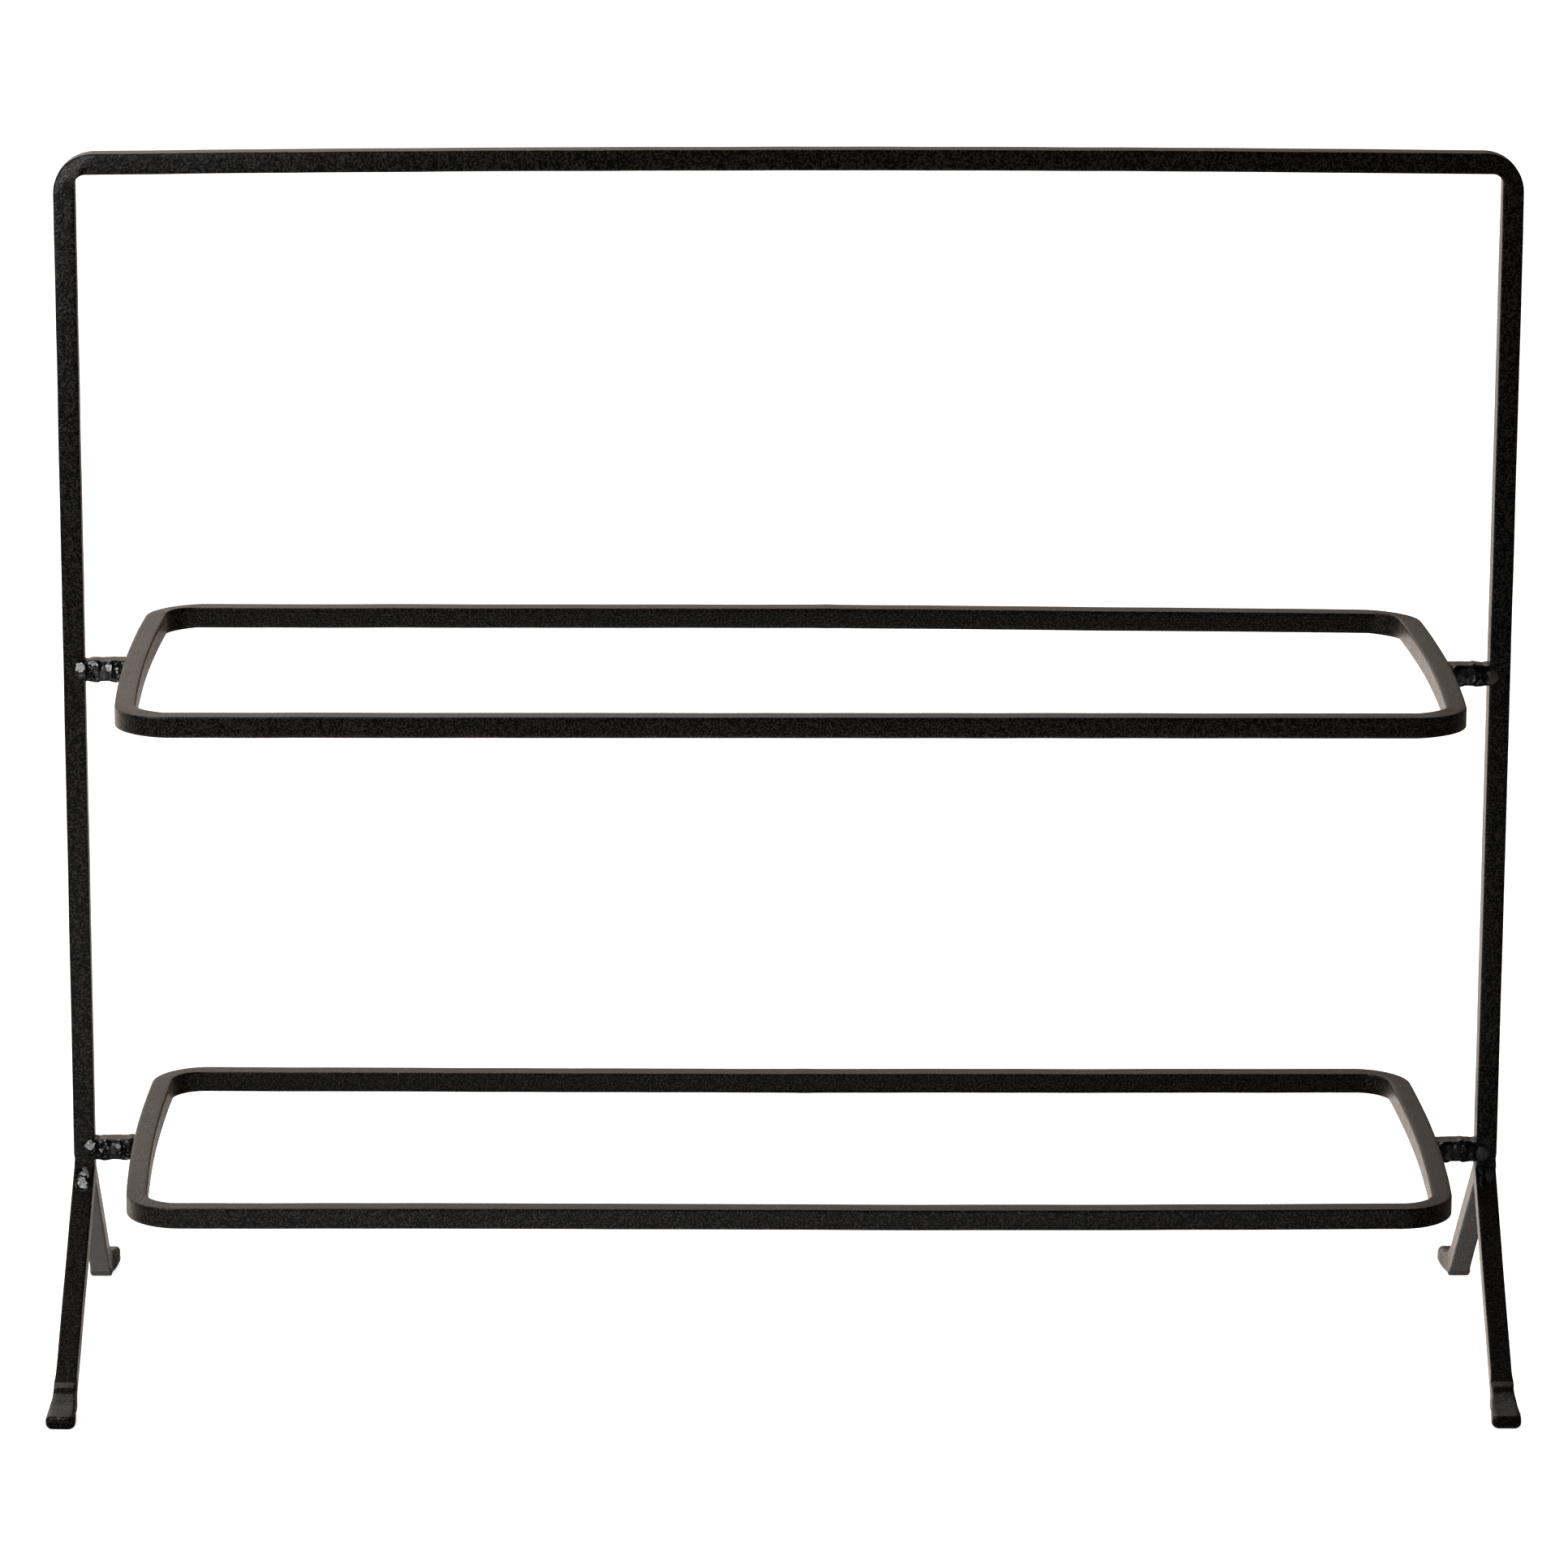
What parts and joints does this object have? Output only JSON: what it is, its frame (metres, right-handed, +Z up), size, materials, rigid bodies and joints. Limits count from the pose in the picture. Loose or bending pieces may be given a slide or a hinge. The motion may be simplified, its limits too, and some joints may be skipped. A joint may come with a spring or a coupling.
{
  "type": "firewood log rack",
  "caption": "Free-standing firewood rack of black square steel bar: a tall arch on splayed forged feet, with level rings that hold the upright logs.",
  "frame": {"origin": "on the floor, under the middle of the rack", "axes": "+X to the right along the rack's length, +Y to the rear, +Z up; the front is -Y"},
  "size_m": [0.6955, 0.252, 0.589],
  "materials": {
    "black_powder_coat": "fine textured satin black powder coat",
    "coated_weld": "glossier black coat over lumpy weld beads"
  },
  "bodies": {
    "root": {"arch_frame": "black_powder_coat", "left_front_leg": "black_powder_coat", "left_leg_weld_front": "coated_weld", "left_leg_weld_rear": "coated_weld", "left_rear_leg": "black_powder_coat", "lower_left_post_weld_front": "coated_weld", "lower_left_post_weld_rear": "coated_weld", "lower_left_ring_weld_front": "coated_weld", "lower_left_ring_weld_rear": "coated_weld", "lower_left_stub": "black_powder_coat", "lower_right_post_weld_front": "coated_weld", "lower_right_post_weld_rear": "coated_weld", "lower_right_ring_weld_front": "coated_weld", "lower_right_ring_weld_rear": "coated_weld", "lower_right_stub": "black_powder_coat", "lower_ring": "black_powder_coat", "right_front_leg": "black_powder_coat", "right_leg_weld_front": "coated_weld", "right_leg_weld_rear": "coated_weld", "right_rear_leg": "black_powder_coat", "upper_left_post_weld_front": "coated_weld", "upper_left_post_weld_rear": "coated_weld", "upper_left_ring_weld_front": "coated_weld", "upper_left_ring_weld_rear": "coated_weld", "upper_left_stub": "black_powder_coat", "upper_right_post_weld_front": "coated_weld", "upper_right_post_weld_rear": "coated_weld", "upper_right_ring_weld_front": "coated_weld", "upper_right_ring_weld_rear": "coated_weld", "upper_right_stub": "black_powder_coat", "upper_ring": "black_powder_coat"}
  },
  "joints": []
}
